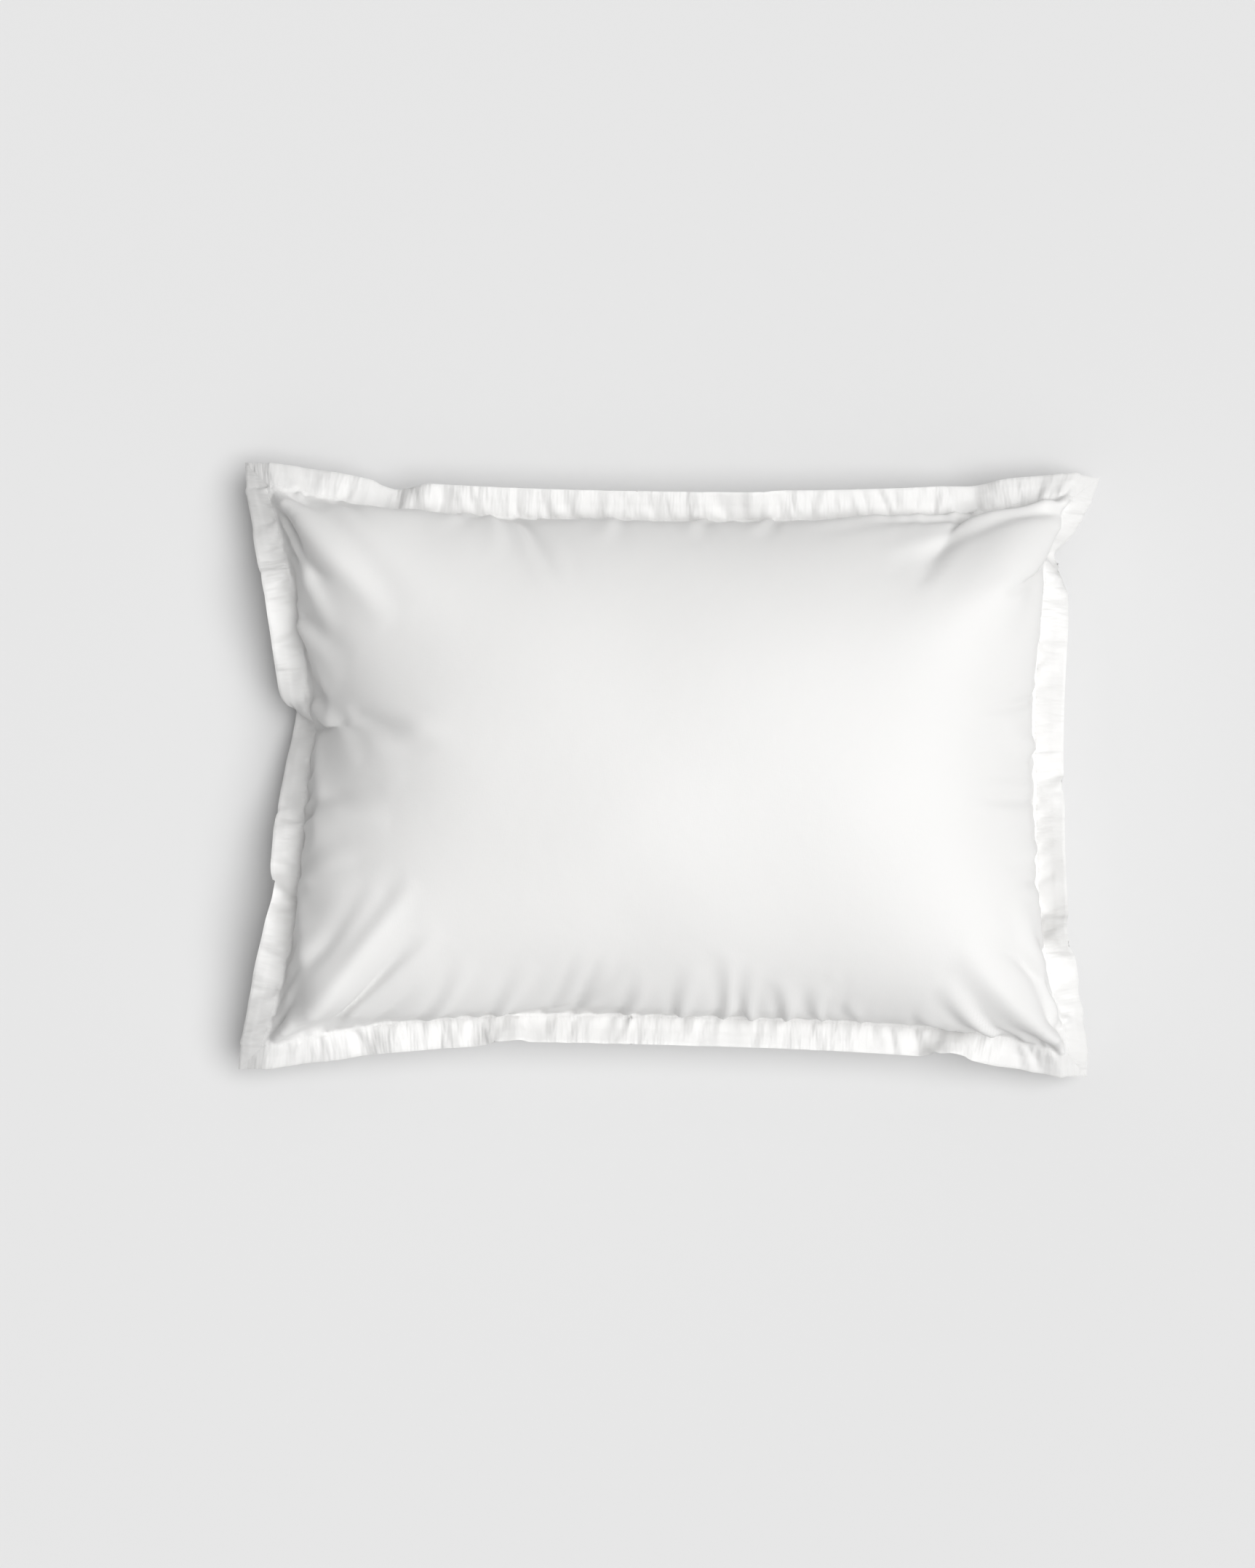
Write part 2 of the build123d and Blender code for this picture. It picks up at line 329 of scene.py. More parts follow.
    def settle(self, steps, dt, pressure):
        """Fill the pocket and let it come to rest on the floor. Gives the pressure back."""
        p = self.points
        for step in range(steps):
            old = p.copy()
            if step % AREA_STEPS == 0:
                area = self.area_vectors()
            if step % VOLUME_STEPS == 0:
                volume = (area[FRONT, ..., 2] * p[FRONT, ..., 2]).sum()
                volume -= (area[BACK, ..., 2] * p[BACK, ..., 2]).sum()
                if volume > TUNED_FROM * FILL_VOLUME:
                    pressure *= 1 + TUNING * (FILL_VOLUME / volume - 1)
                    pressure = min(max(pressure, PRESSURES[0]), PRESSURES[1])
            push = FILL_PUSH * pressure * np.clip(1 - p[..., 2] / FILL_HEAD, 0, 1) / self.cell**2
            push *= self.filled
            push[BACK] *= -1
            self.velocity += area * push[..., None] * dt
            self.velocity[..., 2] -= self.weight * dt
            p += self.velocity * DAMPING * dt
            for start, end, length, grip in self.edges:
                span = p[end] - p[start]
                now = np.sqrt((span * span).sum(-1))
                span *= (grip * 0.5 * (now - length) / np.maximum(now, 1e-9))[..., None]
                p[start] += span
                p[end] -= span
            self.bend()
            p[:, self.tied] = p[:, self.tied].mean(0)
            lap = np.clip(LAYER_GAP - (p[FRONT, ..., 2] - p[BACK, ..., 2]), 0, None) / 2
            lap[self.tied] = 0
            p[FRONT, ..., 2] += lap
            p[BACK, ..., 2] -= lap
            under = p[..., 2] < 0
            p[..., 2] = np.maximum(p[..., 2], 0)
            drag = np.where(under, 1 - FLOOR_SLIP, 0)[..., None]
            p[..., :2] += drag * (old[..., :2] - p[..., :2])
            p[..., :2] -= p[..., :2].mean((0, 1, 2))
            self.velocity = (p - old) / dt
        return pressure


def between_points(points, axis):
    """Halfway points along an axis, on a smooth curve through the grid."""
    p = np.moveaxis(points, axis, 1)
    middle = (p[:, :-1] + p[:, 1:]) / 2
    middle[:, 1:-1] = (9 * (p[:, 1:-2] + p[:, 2:-1]) - p[:, :-3] - p[:, 3:]) / 16
    return np.moveaxis(middle, 1, axis)


def settled_case():
    """The filled case at its finest grid, coarse first so that the large folds form first."""
    rng = np.random.default_rng(START_SEED)
    cloth = Cloth(0)
    cloth.points[..., 2] = START_HEIGHT + rng.normal(size=cloth.from_rim.shape) * START_UNEVEN[0]
    cloth.points[FRONT, ~cloth.tied, 2] += START_GAP
    cloth.points[BACK, ~cloth.tied, 2] -= START_GAP
    pressure = PRESSURES[1]
    levels = LEVELS
    for level in range(levels):
        if level:
            finer = Cloth(level)
            finer.points[:, ::2, ::2] = cloth.points
            finer.points[:, 1::2, ::2] = between_points(cloth.points, 1)
            finer.points[:, :, 1::2] = between_points(finer.points[:, :, ::2], 2)
            finer.points[..., 2] += rng.normal(size=finer.from_rim.shape) * START_UNEVEN[1]
            cloth = finer
        pressure = cloth.settle(STEPS[level], STEP_TIMES[level], pressure)
    return cloth


cloth = settled_case()
cell, rim, nu, nv = cloth.cell, cloth.rim, cloth.nu, cloth.nv
flat_u = (np.arange(nu) - (nu - 1) / 2) * cell
flat_v = (np.arange(nv) - (nv - 1) / 2) * cell
flat = np.stack(np.meshgrid(flat_u, flat_v, indexing="ij"), -1)
rim_distance = cloth.from_rim * cell
seam_u, seam_v = flat_u[-1] - rim * cell, flat_v[-1] - rim * cell

# --- Corners ----------------------------------------------------------------------------------
# A corner of the flange holds the turned-in ends of two seams, so it stands out stiff and square.

CORNER_SHARE = 0.8
CORNER_REACH = 0.048
CORNER_DROOP = 0.5
CORNER_SEAM = 0.02


def square_corner(points, sign_u, sign_v):
    """Turn the flange near a corner to carry on from the seams that meet there, then fill it in."""
    p = points[:, ::sign_u, ::sign_v]
    corner = p[:, -1 - rim, -1 - rim]
    back_along = -1 - rim - round(CORNER_SEAM / cell)
    for band in (p, p.transpose(0, 2, 1, 3)):
        seam = band[:, :-rim, -1 - rim][:, :, None]
        offset = band[:, :-rim, -rim:] - seam
        ahead = unit(corner - band[:, -1 - rim, back_along])
        ahead[:, 2] -= CORNER_DROOP
        ahead = unit(ahead)
        away = np.arange(seam.shape[1])[::-1] * cell
        share = (CORNER_SHARE * np.exp(-((away / CORNER_REACH) ** 2)))[:, None, None]
        length = np.linalg.norm(offset, axis=-1, keepdims=True)
        turned = offset * (1 - share) + ahead[:, None, None] * length * share
        turned *= length / np.linalg.norm(turned, axis=-1, keepdims=True)
        band[:, :-rim, -rim:] = seam + turned
    beside, above = p[:, -rim:, -1 - rim][:, :, None], p[:, -1 - rim, -rim:][:, None]
    p[:, -rim:, -rim:] = beside + above - corner[:, None, None]


for sign_u in (-1, 1):
    for sign_v in (-1, 1):
        square_corner(cloth.points, sign_u, sign_v)

# --- Relief -----------------------------------------------------------------------------------
# Folds that are finer than the solver's are raised on the settled cloth, each a ridge with a
# hollow beside it, and so are the shoulders, which it leaves too round.

# Folds pulled by the corners and the seams: start and end on the flat front, how far each bows
# sideways, half its width where it starts, and its height before FOLD_GAIN. A bow may be negative.
FOLDS = (
    # from the lower left corner
    ((-0.344, -0.246), (-0.236, -0.104), -0.006, 0.0044, 0.0040),
    ((-0.316, -0.222), (-0.208, -0.094), -0.004, 0.0042, 0.0034),
    ((-0.280, -0.228), (-0.190, -0.130), -0.003, 0.0040, 0.0020),
    ((-0.215, -0.243), (-0.165, -0.160), -0.004, 0.0040, 0.0016),
    ((-0.150, -0.243), (-0.112, -0.165), 0.003, 0.0040, 0.0014),
    ((-0.100, -0.240), (-0.030, -0.178), -0.003, 0.0040, 0.0014),
    # from the upper left corner
    ((-0.345, 0.242), (-0.232, 0.116), 0.007, 0.0054, 0.0040),
    ((-0.345, 0.225), (-0.282, 0.112), 0.004, 0.0044, 0.0028),
    ((-0.168, 0.243), (-0.202, 0.200), 0.002, 0.0045, 0.0012),
    ((-0.160, 0.243), (-0.148, 0.170), 0.002, 0.0045, 0.0012),
    # down the left side, out of the pleat
    ((-0.342, 0.060), (-0.262, 0.000), 0.006, 0.0060, 0.0026),
    ((-0.335, 0.130), (-0.280, 0.078), 0.004, 0.0055, 0.0022),
    ((-0.285, 0.045), (-0.220, -0.015), 0.004, 0.0070, 0.0014),
    ((-0.338, -0.060), (-0.232, -0.046), 0.008, 0.0060, 0.0022),
    ((-0.338, -0.118), (-0.260, -0.082), 0.004, 0.0060, 0.0018),
    # from the upper right corner
    ((0.342, 0.243), (0.170, 0.178), -0.005, 0.0048, 0.0026),
    ((0.285, 0.243), (0.105, 0.212), -0.005, 0.0042, 0.0024),
    ((0.343, 0.232), (0.262, 0.105), -0.006, 0.0060, 0.0019),
    # down the right side
    ((0.343, 0.020), (0.275, 0.034), 0.004, 0.0060, 0.0018),
    ((0.343, -0.060), (0.285, -0.075), 0.004, 0.0050, 0.0012),
    # from the lower right corner
    ((0.345, -0.243), (0.235, -0.140), 0.005, 0.0052, 0.0036),
    ((0.340, -0.225), (0.286, -0.100), 0.004, 0.0046, 0.0028),
    ((0.285, -0.238), (0.225, -0.170), 0.003, 0.0038, 0.0024),
    ((0.262, -0.243), (0.205, -0.200), 0.004, 0.0035, 0.0014),
    # short ones along the bottom seam
    ((-0.040, -0.243), (-0.020, -0.170), -0.004, 0.0040, 0.0014),
    ((0.012, -0.243), (0.022, -0.165), 0.004, 0.0040, 0.0016),
    ((0.044, -0.243), (0.048, -0.150), -0.005, 0.0042, 0.0018),
    ((0.072, -0.243), (0.070, -0.160), 0.004, 0.0038, 0.0018),
    ((0.100, -0.243), (0.092, -0.175), -0.004, 0.0036, 0.0018),
    ((0.134, -0.243), (0.126, -0.180), 0.004, 0.0036, 0.0020),
    ((0.165, -0.243), (0.150, -0.195), -0.003, 0.0034, 0.0014),
    # and along the top one
    ((-0.050, 0.243), (-0.062, 0.190), 0.003, 0.0040, 0.0012),
    ((0.030, 0.243), (0.012, 0.196), -0.003, 0.0040, 0.0014),
    ((0.086, 0.243), (0.060, 0.200), 0.003, 0.0040, 0.0014),
)
FOLD_SPREAD = 1.3
FOLD_RISE = 0.12
FOLD_FADE = 0.8
FOLD_GAIN = 2.5
# A fold is worked out as far as this many of its widths to each side.
FOLD_REACH = 4
HOLLOW_SHARE = 0.6
HOLLOW_ASIDE = 1.5
SEAM_FADE = 0.002
# Puckers on both faces and crinkles across the flange, all from the stitching. These are ranges
# in metres, heights before FOLD_GAIN. A crinkle's length is a share of the flange's width.
PUCKER_SPACING = (0.010, 0.032)
PUCKER_LENGTH = (0.010, 0.038)
PUCKER_WIDTH = (0.0020, 0.0040)
PUCKER_HEIGHT = (0.0003, 0.0012)
PUCKER_BOW = (-0.002, 0.002)
CRINKLE_SPACING = (0.007, 0.026)
CRINKLE_LENGTH = (0.6, 1.8)
CRINKLE_WIDTH = (0.0016, 0.0042)
CRINKLE_HEIGHT = (0.0003, 0.0012)
LEAN = 0.5
# Boxed by its fill, the face climbs from each seam to a shoulder: how high it lifts the cloth.
SHOULDERS = {"left": 0.0100, "right": 0.0070, "bottom": 0.0070, "top": 0.0080}
SHOULDER_IN = 0.038
SHOULDER_FALL = 0.09
SHOULDER_ENDS = 0.08
SHOULDER_PASSES = 5
# The left one is sharper and scalloped: how steeply it climbs, its lobes' pitch, where a crest
# is, how deep they are, and how far in they fade.
SCALLOP_CLIMB = 1.6
SCALLOP_PITCH = 0.115
SCALLOP_CREST = 0.045
SCALLOP_DEPTH = 0.46
SCALLOP_FADE = 0.055
# The large tuck's crease runs on into the face, where it is eased.
EASED_AT = (-0.258, 0.032)
EASED_REACH = (0.050, 0.022)
EASED_PASSES = 60
# Relief is raised along evened-out normals, so that it can't push a crease through itself.
OUTWARD_PASSES = 40


def add_fold(relief, start, end, bow, width, height):
    """Raise one fold on a sheet's relief, which holds the height added at each grid point."""
    start, end = np.array(start), np.array(end)
    reach = FOLD_REACH * width + abs(bow)
    low, high = np.minimum(start, end) - reach, np.maximum(start, end) + reach
    rows = slice(*np.searchsorted(flat_u, (low[0], high[0])))
    columns = slice(*np.searchsorted(flat_v, (low[1], high[1])))
    length = np.linalg.norm(end - start)
    ahead = (end - start) / length
    away = flat[rows, columns] - start
    share = np.clip((away @ ahead) / length, 0, 1)
    aside = away @ np.array([-ahead[1], ahead[0]]) - 4 * bow * share * (1 - share)
    spread = width * (1 + FOLD_SPREAD * share)
    ridge = np.exp(-((aside / spread) ** 2))
    hollow = np.exp(-((aside / spread - HOLLOW_ASIDE) ** 2))
    size = np.clip(share / FOLD_RISE, 0, 1) * (1 - share) ** FOLD_FADE
    relief[rows, columns] += height * size * (ridge - HOLLOW_SHARE * hollow) * FOLD_GAIN


def along_seams(spacing, rng):
    """Places down each seam: the point, the way in from it, and its share of the way to an end."""
    for at_end, half, across in ((False, seam_u, seam_v), (True, seam_v, seam_u)):
        for sign in (-1, 1):
            place = -half + rng.uniform(*spacing)
            while place < half:
                point, inward = np.array([place, sign * across]), np.array([0.0, -sign])
                if at_end:
                    point, inward = point[::-1], inward[::-1]
                yield point, inward, place / half
                place += rng.uniform(*spacing)


def pucker_relief(rng):
    """Short puckers running in from the stitching, leaning away from the nearer corner."""
    relief = np.zeros((nu, nv))
    for point, inward, share in along_seams(PUCKER_SPACING, rng):
        lean = -share * LEAN + rng.uniform(-LEAN, LEAN) / 2
        end = point + (inward + lean * np.abs(inward[::-1])) * rng.uniform(*PUCKER_LENGTH)
        bow, width = rng.uniform(*PUCKER_BOW), rng.uniform(*PUCKER_WIDTH)
        add_fold(relief, point, end, bow, width, rng.uniform(*PUCKER_HEIGHT))
    return relief


def crinkle_relief(rng):
    """Crinkles across the flange, out from the stitching."""
    relief = np.zeros((nu, nv))
    for point, inward, share in along_seams(CRINKLE_SPACING, rng):
        lean = rng.uniform(-LEAN, LEAN)
        length = rim * cell * rng.uniform(*CRINKLE_LENGTH)
        end = point - (inward + lean * np.abs(inward[::-1])) * length
        height = rng.uniform(*CRINKLE_HEIGHT) * rng.choice((-1, 1))
        bow, width = rng.uniform(*PUCKER_BOW), rng.uniform(*CRINKLE_WIDTH)
        add_fold(relief, point, end, bow, width, height)
    return relief


def evened(grid, passes):
    """A grid evened out with its neighbours, its border kept."""
    out = grid.copy()
    for _ in range(passes):
        out[1:-1, 1:-1] = (out[:-2, 1:-1] + out[2:, 1:-1] + out[1:-1, :-2] + out[1:-1, 2:]) / 4
    return out


def smooth_step(t):
    """From 0 to 1, level at both ends."""
    t = np.clip(t, 0, 1)
    return t * t * (3 - 2 * t)


def shoulder_relief():
    """A steep climb from each seam, falling away slowly towards the middle."""
    u, v = flat[..., 0], flat[..., 1]
    from_side = {"left": u + seam_u, "right": seam_u - u, "bottom": v + seam_v, "top": seam_v - v}
    scallop = -np.cos((v + from_side["left"] - SCALLOP_CREST) * 2 * np.pi / SCALLOP_PITCH)
    scallop *= SCALLOP_DEPTH * np.exp(-((from_side["left"] / SCALLOP_FADE) ** 2))
    relief = np.zeros((nu, nv))
    for side, height in SHOULDERS.items():
        away = from_side[side]
        climb = smooth_step(away / SHOULDER_IN)
        if side == "left":
            away = away / (1 + scallop)
            climb = np.clip(away / SHOULDER_IN, 0, 1) ** SCALLOP_CLIMB * (1 + scallop)
        ends = ("bottom", "top") if side in ("left", "right") else ("left", "right")
        inside = smooth_step(np.minimum(from_side[ends[0]], from_side[ends[1]]) / SHOULDER_ENDS)
        fall = np.exp(-((np.clip(away - SHOULDER_IN, 0, None) / SHOULDER_FALL) ** 2))
        relief += height * climb * fall * inside
    return evened(relief, SHOULDER_PASSES)


def ease_crease(points):
    """Even out the cloth where the large tuck's crease runs into the face."""
    near = np.exp(-(((flat - EASED_AT) / EASED_REACH) ** 2).sum(-1)) * in_face
    near = near[1:-1, 1:-1, None]
    for _ in range(EASED_PASSES):
        around = points[:-2, 1:-1] + points[2:, 1:-1] + points[1:-1, :-2] + points[1:-1, 2:]
        points[1:-1, 1:-1] += (around / 4 - points[1:-1, 1:-1]) * near


rng = np.random.default_rng(FOLD_SEED)
in_face = np.clip((rim_distance - rim * cell) / SEAM_FADE, 0, 1)
in_flange = np.clip((rim * cell - rim_distance) / SEAM_FADE, 0, 1)
folds = np.zeros((nu, nv))
for fold in FOLDS:
    add_fold(folds, *fold)
crinkles = crinkle_relief(rng) * in_flange
relief = np.stack([
    (folds + shoulder_relief() + pucker_relief(rng)) * in_face + crinkles,
    -pucker_relief(rng) * in_face + crinkles,
])
ease_crease(cloth.points[FRONT])
outward = np.stack([evened(side, OUTWARD_PASSES) for side in cloth.area_vectors()])
cloth.points += unit(outward) * relief[..., None]
cloth.points[..., 2] = np.maximum(cloth.points[..., 2], 0)

# --- From cloth to pieces -------------------------------------------------------------------

LIFT = 0.0009
PLY = 0.0004
# A ply of the flange lies this far from the middle of the two at its very edge, this much further
# out over the seam's turned-in allowance, and this far at the stitching, which draws them together.
EDGE_PLY = 0.00005
ALLOWANCE_PLY = 0.0003
STITCHED_PLY = 0.0002
SEAM_ALLOWANCE = 0.010
ALLOWANCE_END = 0.002
STITCH_DRAW = (0.003, 0.004)
FINE_BAND = 0.060
BACK_HEM_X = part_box("case_back_panel")[0][0]
UNDERLAP_HEM_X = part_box("case_underlap_panel")[1][0]
HEM_WIDTH = 0.020
HEM_PLY = 0.0008
UNDERLAP_IN = 0.0018
LAP_RAMP = 0.012
IN_FLANGE = 0.15

normals = unit(cloth.area_vectors().astype(float))
surface = cloth.points.astype(float)
surface[..., 2] += LIFT


def ply_offset():
    """How far each ply of the flange lies from the middle of its two plies."""
    seam, (before, after) = rim * cell, STITCH_DRAW
    allowance = (cell, SEAM_ALLOWANCE, SEAM_ALLOWANCE + ALLOWANCE_END)
    places = (0, *allowance, seam - before, seam, seam + after)
    plies = (EDGE_PLY, PLY + ALLOWANCE_PLY, PLY + ALLOWANCE_PLY, PLY, PLY, STITCHED_PLY, 0)
    return np.interp(rim_distance, places, plies)


offset = ply_offset()[..., None]
# The plies of the opening are pressed together where the flange is stitched.
squeezed = np.interp(rim_distance, (rim * cell, rim * cell + LAP_RAMP), (IN_FLANGE, 1))[..., None]
outer = np.stack([surface[FRONT] + normals[FRONT] * offset, surface[BACK] - normals[BACK] * offset])


def kept_lines(count):
    """Grid lines for a mesh: all of them near the flange, and every other one further in."""
    line = np.arange(count)
    in_from_rim = np.minimum(line, count - 1 - line)
    return line[(in_from_rim * cell <= FINE_BAND) | (line % 2 == 0)]


def add_piece(name, points, faces, slot, replaces=(), uv=None):
    """A smooth mesh that rides on the body, with its material slot and the CAD nodes it replaces."""
    mesh = bpy.data.meshes.new(name)
    mesh.from_pydata(points.tolist(), [], [tuple(f) for f in faces])
    mesh.polygons.foreach_set("use_smooth", np.ones(len(mesh.polygons), bool))
    if uv is not None:
        corners = np.zeros(len(mesh.loops), int)
        mesh.loops.foreach_get("vertex_index", corners)
        layer = mesh.uv_layers.new(name="flat")
        layer.data.foreach_set("uv", uv[corners].ravel())
    piece = new_object(name, mesh)
    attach(piece, "root")
    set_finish(piece, slot)
    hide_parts(*replaces)
    return piece


def quads_of(rows, columns, flip=False):
    """The faces of a grid of points."""
    index = np.arange(rows * columns).reshape(rows, columns)
    quads = np.stack([index[:-1, :-1], index[1:, :-1], index[1:, 1:], index[:-1, 1:]], -1)
    return quads.reshape(-1, 4)[:, :: -1 if flip else 1]


def sheet_piece(name, points, flat_points, slot, replaces, flip=False):
    """A grid of points as a piece, with its flat cut as UVs."""
    faces, uv = quads_of(*points.shape[:2], flip), flat_points.reshape(-1, 2)
    return add_piece(name, points.reshape(-1, 3), faces, slot, replaces, uv)


def column_at(x):
    """The grid line across the back whose middle lies nearest to x."""
    middle = surface[BACK, :, nv // 2, 0]
    return int(np.argmin(np.abs(middle - x)))


rows_u, rows_v = kept_lines(nu), kept_lines(nv)
front_panel = sheet_piece(
    "case_front_panel_cloth",
    outer[FRONT][rows_u][:, rows_v],
    flat[rows_u][:, rows_v],
    "case_sateen",
    ["case_front_panel"],
)

# The main back panel ends in a hem: its cloth turns in at the edge and runs back.
hem_line = column_at(BACK_HEM_X)
hem_lines = max(round(HEM_WIDTH / cell), 1)
turned = np.arange(hem_line + hem_lines, hem_line, -1)
kept = rows_u[rows_u >= hem_line + hem_lines]
onward = np.concatenate([np.arange(hem_line, hem_line + hem_lines), kept])
inward = normals[BACK] * HEM_PLY * squeezed
back_points = np.concatenate([(outer[BACK] + inward)[turned], outer[BACK][onward]])[:, rows_v]
back_flat = np.concatenate([flat[turned] - [2 * HEM_WIDTH, 0], flat[onward]])[:, rows_v]
back_panel = sheet_piece(
    "case_back_panel_cloth", back_points, back_flat, "case_sateen", ["case_back_panel"], True
)

# The underlap runs on inside the main panel and has a hem of its own.
underlap_line = column_at(UNDERLAP_HEM_X)
lap = smooth_step((flat_u - flat_u[hem_line] + LAP_RAMP) / LAP_RAMP)[:, None, None] * squeezed
underlap_surface = outer[BACK] + normals[BACK] * lap * UNDERLAP_IN
kept = rows_u[rows_u < underlap_line - hem_lines]
onward = np.concatenate([kept, np.arange(underlap_line - hem_lines, underlap_line + 1)])
turned = np.arange(underlap_line - 1, underlap_line - hem_lines - 1, -1)
lap_hem = (underlap_surface + inward)[turned]
lap_points = np.concatenate([underlap_surface[onward], lap_hem])[:, rows_v]
lap_flat = np.concatenate([flat[onward], flat[turned] + [2 * HEM_WIDTH, 0]])[:, rows_v]
underlap_panel = sheet_piece(
    "case_underlap_cloth", lap_points, lap_flat, "case_sateen", ["case_underlap_panel"], True
)

# --- Thread ---------------------------------------------------------------------------------

STITCH_PITCH = 0.0030
STITCH_LENGTH = 0.0025
THREAD_RADIUS = 0.00019
THREAD_SIDES = 6
STITCH_RINGS = 5
# A stitch is drawn into the cloth at its ends: all of these are shares.
STITCH_TIP = 0.06
STITCH_RISE = 1.2
STITCH_SUNK = 0.6
STITCH_TAPER = 0.35
EDGE_SEAM_IN = 0.004
TACK_LENGTH = 0.010
TACK_WIDTH = 0.0024
TACK_ROWS = 17
TACK_OUT = 0.006
TACK_ZIGZAG = 0.0004


def along(line, distance):
    """Points at the given distances along a polyline."""
    gone = np.concatenate([[0], np.cumsum(np.linalg.norm(np.diff(line, axis=0), axis=-1))])
    return np.stack([np.interp(distance, gone, line[:, k]) for k in range(3)], -1)


def length_of(line):
    """A polyline's length."""
    return np.linalg.norm(np.diff(line, axis=0), axis=-1).sum()


def stitches(line, up, pitch=STITCH_PITCH, length=STITCH_LENGTH, radius=THREAD_RADIUS):
    """One small tapered bar of thread for every stitch along a line, its ends drawn into the cloth."""
    count = max(int(length_of(line) / pitch), 1)
    starts = (np.arange(count) + 0.5) * length_of(line) / count - length / 2
    share = np.linspace(0, 1, STITCH_RINGS)
    bulge = np.sin(np.pi * np.clip(share, STITCH_TIP, 1 - STITCH_TIP))
    where = starts[:, None] + share[None, :] * length
    centre = along(line, where.ravel()).reshape(count, STITCH_RINGS, 3)
    lift = unit(along(up, where.ravel()).reshape(count, STITCH_RINGS, 3))
    centre += lift * (bulge[:, None] * STITCH_RISE - STITCH_SUNK) * radius
    sideways = unit(np.cross(lift, np.gradient(centre, axis=1)))
    turn = np.arange(THREAD_SIDES) * 2 * np.pi / THREAD_SIDES
    ring = sideways[:, :, None] * np.cos(turn)[:, None] + lift[:, :, None] * np.sin(turn)[:, None]
    thick = radius * bulge**STITCH_TAPER
    points = centre[:, :, None] + ring * thick[None, :, None, None]
    per_stitch = STITCH_RINGS * THREAD_SIDES
    faces = []
    for ring_index in range(STITCH_RINGS - 1):
        for side in range(THREAD_SIDES):
            after = (side + 1) % THREAD_SIDES
            low, high = ring_index * THREAD_SIDES, (ring_index + 1) * THREAD_SIDES
            faces.append((low + side, low + after, high + after, high + side))
    faces = np.array(faces)[None] + np.arange(count)[:, None, None] * per_stitch
    return points.reshape(-1, 3), faces.reshape(-1, 4)


def joined(parts):
    """Several sets of points and faces as one."""
    points, faces, count = [], [], 0
    for p, f in parts:
        points.append(p)
        faces.append(f + count)
        count += len(p)
    return np.concatenate(points), np.concatenate(faces)


def loop_at(grid, inset):
    """The closed line round a grid, inset by a number of its lines."""
    last_u, last_v = grid.shape[0] - 1 - inset, grid.shape[1] - 1 - inset
    sides = (
        grid[inset : last_u + 1, inset],
        grid[last_u, inset + 1 : last_v + 1],
        grid[inset:last_u, last_v][::-1],
        grid[inset, inset : last_v][::-1],
    )
    return np.concatenate(sides)


topstitch_inset = max(rim - 1, 1)
needle = stitches(loop_at(outer[FRONT], topstitch_inset), loop_at(normals[FRONT], topstitch_inset))
bobbin = stitches(loop_at(outer[BACK], topstitch_inset), loop_at(-normals[BACK], topstitch_inset))
add_piece("flange_topstitch_thread", *joined([needle, bobbin]), "case_thread", ["flange_topstitch"])

edge_inset = max(round(EDGE_SEAM_IN / cell), 1)
edge_line = loop_at(surface[FRONT], edge_inset)
edge_up = loop_at(normals[FRONT], edge_inset)
add_piece("edge_seam_stitches", *stitches(edge_line, edge_up), "case_thread", ["edge_seam_thread"])

stitched_rows = slice(rim + 1, nv - 1 - rim)
back_row = hem_line + hem_lines - 1
back_hem = stitches(outer[BACK, back_row, stitched_rows], -normals[BACK, back_row, stitched_rows])
add_piece("back_hem_stitches", *back_hem, "case_thread", ["back_hem_stitch"])
underlap_row = underlap_line - hem_lines + 1
underlap_hem = stitches(
    underlap_surface[underlap_row, stitched_rows], -normals[BACK, underlap_row, stitched_rows]
)
add_piece("underlap_hem_stitches", *underlap_hem, "case_thread", ["underlap_hem_stitch"])


def bar_tack(high):
    """A close zigzag across the end of the opening, on the underside of the flange."""
    inset = rim - round(TACK_OUT / cell)
    column = nv - 1 - inset if high else inset
    half = max(round(TACK_LENGTH / 2 / cell), 1)
    reach = slice(hem_line - half, hem_line + half + 1)
    spine = outer[BACK][reach, column] - normals[BACK][reach, column] * PLY
    down = -normals[BACK][reach, column]
    places = np.linspace(0, length_of(spine), TACK_ROWS)
    middle = along(spine, places)
    parts = []
    for k, point in enumerate(middle):
        across = np.array([TACK_ZIGZAG * (-1) ** k, TACK_WIDTH / 2, 0])
        line = np.linspace(point - across, point + across, STITCH_RINGS)
        up = np.repeat(down[len(down) // 2][None], STITCH_RINGS, 0)
        parts.append(stitches(line, up, TACK_WIDTH, TACK_WIDTH))
    return joined(parts)


bar_tacks = joined([bar_tack(False), bar_tack(True)])
add_piece("opening_bar_tack_stitches", *bar_tacks, "case_thread", ["opening_bar_tacks"])

# --- The insert -----------------------------------------------------------------------------

INSERT_CELL = 0.00625
INSERT_INSET = 0.0125
# The insert is shaped this far inside the case's walls, and its finished ticking keeps this room.
INSERT_ROOM = 0.0045
TICKING_ROOM = 0.003
ROOM_PASSES = 4
INSERT_EDGE_ROUND = 0.045
TICKING_SHARE = 0.98
FILL_SHARE = 0.985
# Each layer of fill keeps this share of its depth clear above and below, and this many lines
# clear of the insert's edge.
FILL_GAP = 0.02
FILL_LINES_IN = 2
DIVIDER_SHARES = (0.28, 0.52)
DIVIDER_TAPER = 0.10
SMOOTHING = 4
PIPING_RADIUS = 0.0016
PIPING_SIDES = 10
PIPING_RINGS = 700
STITCH_INSET = 0.0016
LABEL_PLY = 0.0003

step = max(round(INSERT_CELL / cell), 1)
first = rim + max(round(INSERT_INSET / cell), 1)


def insert_lines(count):
    """Grid lines for the insert, evenly spread between its own seams."""
    pieces = max(round((count - 1 - 2 * first) / step), 4)
    return np.linspace(first, count - 1 - first, pieces + 1)


